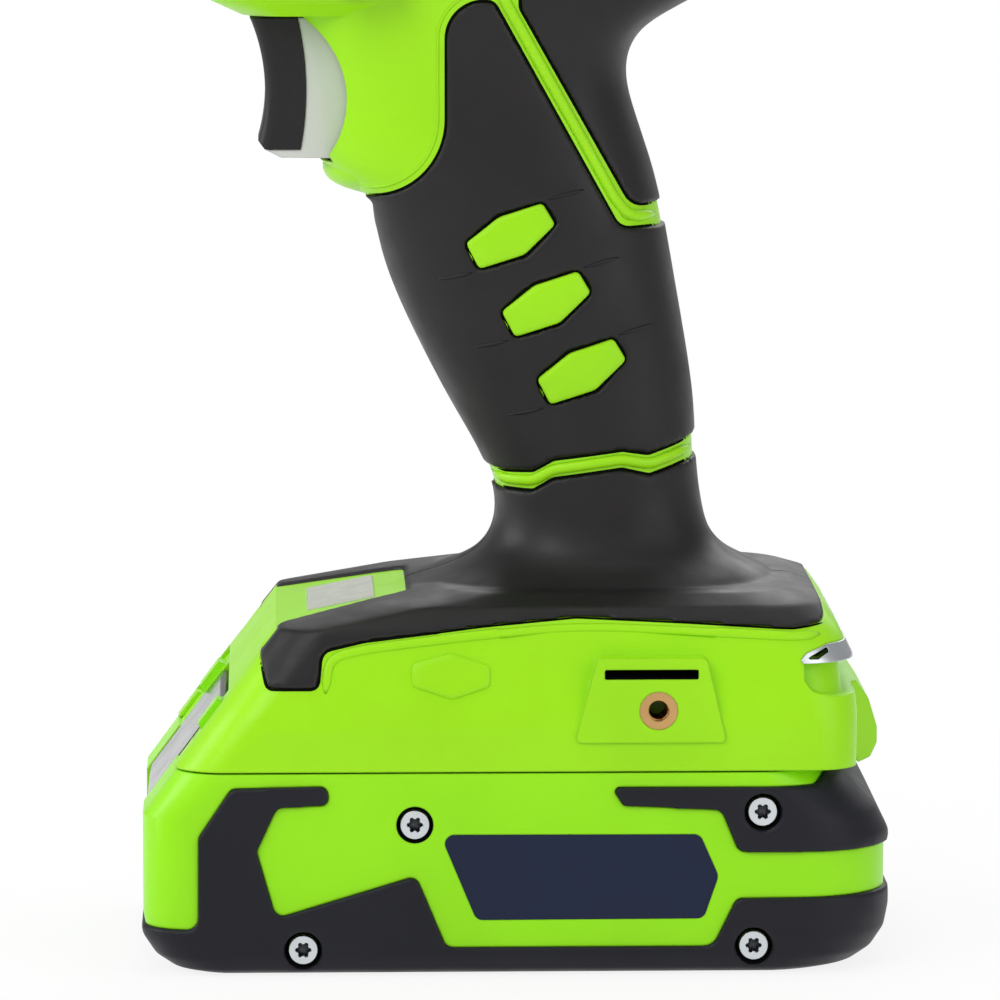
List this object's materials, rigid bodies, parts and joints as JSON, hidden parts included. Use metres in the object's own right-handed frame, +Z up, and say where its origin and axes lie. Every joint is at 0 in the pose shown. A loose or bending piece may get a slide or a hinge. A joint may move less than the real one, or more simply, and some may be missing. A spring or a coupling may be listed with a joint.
{
  "type": "cordless drill",
  "caption": "Pistol-grip cordless drill with overmoulded handle, trigger, planetary gearing, keyless chuck, torque ring, foot lamp and a slide-on battery pack it stands on.",
  "frame": {"origin": "middle of the face the battery pack stands on", "axes": "+Z up through the handle, the chuck points to -X, -Y is the operator's left side"},
  "size_m": [0.1952, 0.0756, 0.2182],
  "materials": {
    "green_plastic": "satin moulded",
    "pack_green": "satin moulded",
    "black_rubber": "matte moulded",
    "bumper_rubber": "matte moulded",
    "black_plastic": "fine grain",
    "grey_plastic": "satin",
    "button_plastic": "gloss",
    "label_panel": "satin film",
    "lens": "frosted clear",
    "board": "solder mask",
    "steel": "machined",
    "dark_steel": "blackened",
    "zinc_steel": "zinc plated",
    "gear_steel": "sintered",
    "can_steel": "plated",
    "magnet": "sintered ferrite",
    "brass": "machined",
    "bronze": "oil-filled",
    "copper": "tinned strip",
    "die_cast": "die cast",
    "cell_sleeve": "sleeved cell"
  },
  "bodies": {
    "tool": {"housing_left": "green_plastic", "housing_right": "green_plastic", "grip_left": "black_rubber", "grip_right": "black_rubber", "back_pads": "black_rubber", "foot_cover_left": "black_rubber", "foot_cover_right": "black_rubber", "rear_cap": "black_plastic", "gear_case": "die_cast", "ring_gear": "gear_steel", "motor_plate": "can_steel", "motor_can": "can_steel", "motor_magnets": "magnet", "motor_end_bell": "black_plastic", "motor_bushes": "bronze", "spindle_bearing": "steel", "clutch_spring": "steel", "switch_module": "black_plastic", "lamp_lens": "lens", "lamp_board": "board", "terminal_block": "black_plastic", "terminal_blades": "copper", "housing_screws": "zinc_steel", "belt_inserts": "brass", "lanyard_bar": "zinc_steel"},
    "pack": {"battery_case_left": "pack_green", "battery_case_right": "pack_green", "battery_bumpers": "bumper_rubber", "battery_rear_bumpers": "bumper_rubber", "battery_labels": "label_panel", "battery_screws": "zinc_steel", "battery_cells": "cell_sleeve", "cell_holder": "black_plastic", "bus_bars": "zinc_steel", "battery_board": "board", "battery_clips": "copper", "latch_spring": "steel"},
    "release": {"release_button": "button_plastic"},
    "trigger": {"trigger": "grey_plastic", "trigger_pad": "black_rubber"},
    "direction": {"direction_selector": "black_plastic"},
    "speed": {"speed_selector": "black_plastic"},
    "clutch": {"clutch_ring": "black_plastic"},
    "spindle": {"spindle": "steel", "chuck_body": "dark_steel", "chuck_screw": "zinc_steel"},
    "sleeve": {"chuck_sleeve": "black_plastic", "jaw_nut": "steel"},
    "carrier": {"carrier": "gear_steel"},
    "rotor": {"armature": "gear_steel", "cooling_fan": "black_plastic"},
    "planet_front_1": {"planet_front_1": "gear_steel"},
    "planet_rear_1": {"planet_rear_1": "gear_steel"},
    "jaw_1": {"jaw_1": "steel"},
    "planet_front_2": {"planet_front_2": "gear_steel"},
    "planet_rear_2": {"planet_rear_2": "gear_steel"},
    "jaw_2": {"jaw_2": "steel"},
    "planet_front_3": {"planet_front_3": "gear_steel"},
    "planet_rear_3": {"planet_rear_3": "gear_steel"},
    "jaw_3": {"jaw_3": "steel"}
  },
  "joints": [
    {"name": "battery_slide", "type": "slide", "parent": "tool", "child": "pack", "axis": [-1, 0, 0], "range_m": [0, 0.125]},
    {"name": "release_press", "type": "slide", "parent": "pack", "child": "release", "axis": [0.8, 0, -0.6], "range_m": [0, 0.0024], "stiffness_N_per_m": 800, "springref_m": -0.003},
    {"name": "trigger_press", "type": "slide", "parent": "tool", "child": "trigger", "axis": [1, 0, 0], "range_m": [0, 0.0062], "stiffness_N_per_m": 900, "springref_m": -0.003},
    {"name": "direction_select", "type": "slide", "parent": "tool", "child": "direction", "axis": [0, 1, 0], "range_m": [-0.003, 0.003]},
    {"name": "speed_select", "type": "slide", "parent": "tool", "child": "speed", "axis": [1, 0, 0], "range_m": [0, 0.008]},
    {"name": "torque_ring_turn", "type": "hinge", "parent": "tool", "child": "clutch", "pos_m": [-0.068, 0, 0.188], "axis": [1, 0, 0], "range_deg": [0, 300]},
    {"name": "spindle_spin", "type": "hinge", "parent": "tool", "child": "spindle", "pos_m": [-0.06, 0, 0.188], "axis": [1, 0, 0], "continuous": true},
    {"name": "carrier_spin", "type": "hinge", "parent": "tool", "child": "carrier", "pos_m": [-0.022, 0, 0.188], "axis": [1, 0, 0], "continuous": true},
    {"name": "rotor_spin", "type": "hinge", "parent": "tool", "child": "rotor", "pos_m": [0.015, 0, 0.188], "axis": [1, 0, 0], "continuous": true},
    {"name": "sleeve_turn", "type": "hinge", "parent": "spindle", "child": "sleeve", "pos_m": [-0.108, 0, 0.188], "axis": [1, 0, 0], "range_deg": [0, 3280]},
    {"name": "planet_front_1_spin", "type": "hinge", "parent": "spindle", "child": "planet_front_1", "pos_m": [-0.0288, 0, 0.19925], "axis": [1, 0, 0], "continuous": true},
    {"name": "planet_rear_1_spin", "type": "hinge", "parent": "carrier", "child": "planet_rear_1", "pos_m": [-0.0166, 0, 0.19925], "axis": [1, 0, 0], "continuous": true},
    {"name": "jaw_1_slide", "type": "slide", "parent": "spindle", "child": "jaw_1", "axis": [-0.9511, 0, -0.309], "range_m": [0, 0.0165]},
    {"name": "planet_front_2_spin", "type": "hinge", "parent": "spindle", "child": "planet_front_2", "pos_m": [-0.0288, -0.00974, 0.18238], "axis": [1, 0, 0], "continuous": true},
    {"name": "planet_rear_2_spin", "type": "hinge", "parent": "carrier", "child": "planet_rear_2", "pos_m": [-0.0166, -0.00974, 0.18238], "axis": [1, 0, 0], "continuous": true},
    {"name": "jaw_2_slide", "type": "slide", "parent": "spindle", "child": "jaw_2", "axis": [-0.9511, 0.2676, 0.1545], "range_m": [0, 0.0165]},
    {"name": "planet_front_3_spin", "type": "hinge", "parent": "spindle", "child": "planet_front_3", "pos_m": [-0.0288, 0.00974, 0.18238], "axis": [1, 0, 0], "continuous": true},
    {"name": "planet_rear_3_spin", "type": "hinge", "parent": "carrier", "child": "planet_rear_3", "pos_m": [-0.0166, 0.00974, 0.18238], "axis": [1, 0, 0], "continuous": true},
    {"name": "jaw_3_slide", "type": "slide", "parent": "spindle", "child": "jaw_3", "axis": [-0.9511, -0.2676, 0.1545], "range_m": [0, 0.0165]}
  ],
  "couplings": [
    {"joint": "carrier_spin", "follows": "spindle_spin", "ratio": 5},
    {"joint": "rotor_spin", "follows": "spindle_spin", "ratio": 25},
    {"joint": "planet_front_1_spin", "follows": "spindle_spin", "ratio": -2.6667},
    {"joint": "planet_rear_1_spin", "follows": "spindle_spin", "ratio": -13.333},
    {"joint": "jaw_1_slide", "follows": "sleeve_turn", "m_per_rad": 0.00028648},
    {"joint": "planet_front_2_spin", "follows": "spindle_spin", "ratio": -2.6667},
    {"joint": "planet_rear_2_spin", "follows": "spindle_spin", "ratio": -13.333},
    {"joint": "jaw_2_slide", "follows": "sleeve_turn", "m_per_rad": 0.00028648},
    {"joint": "planet_front_3_spin", "follows": "spindle_spin", "ratio": -2.6667},
    {"joint": "planet_rear_3_spin", "follows": "spindle_spin", "ratio": -13.333},
    {"joint": "jaw_3_slide", "follows": "sleeve_turn", "m_per_rad": 0.00028648}
  ]
}
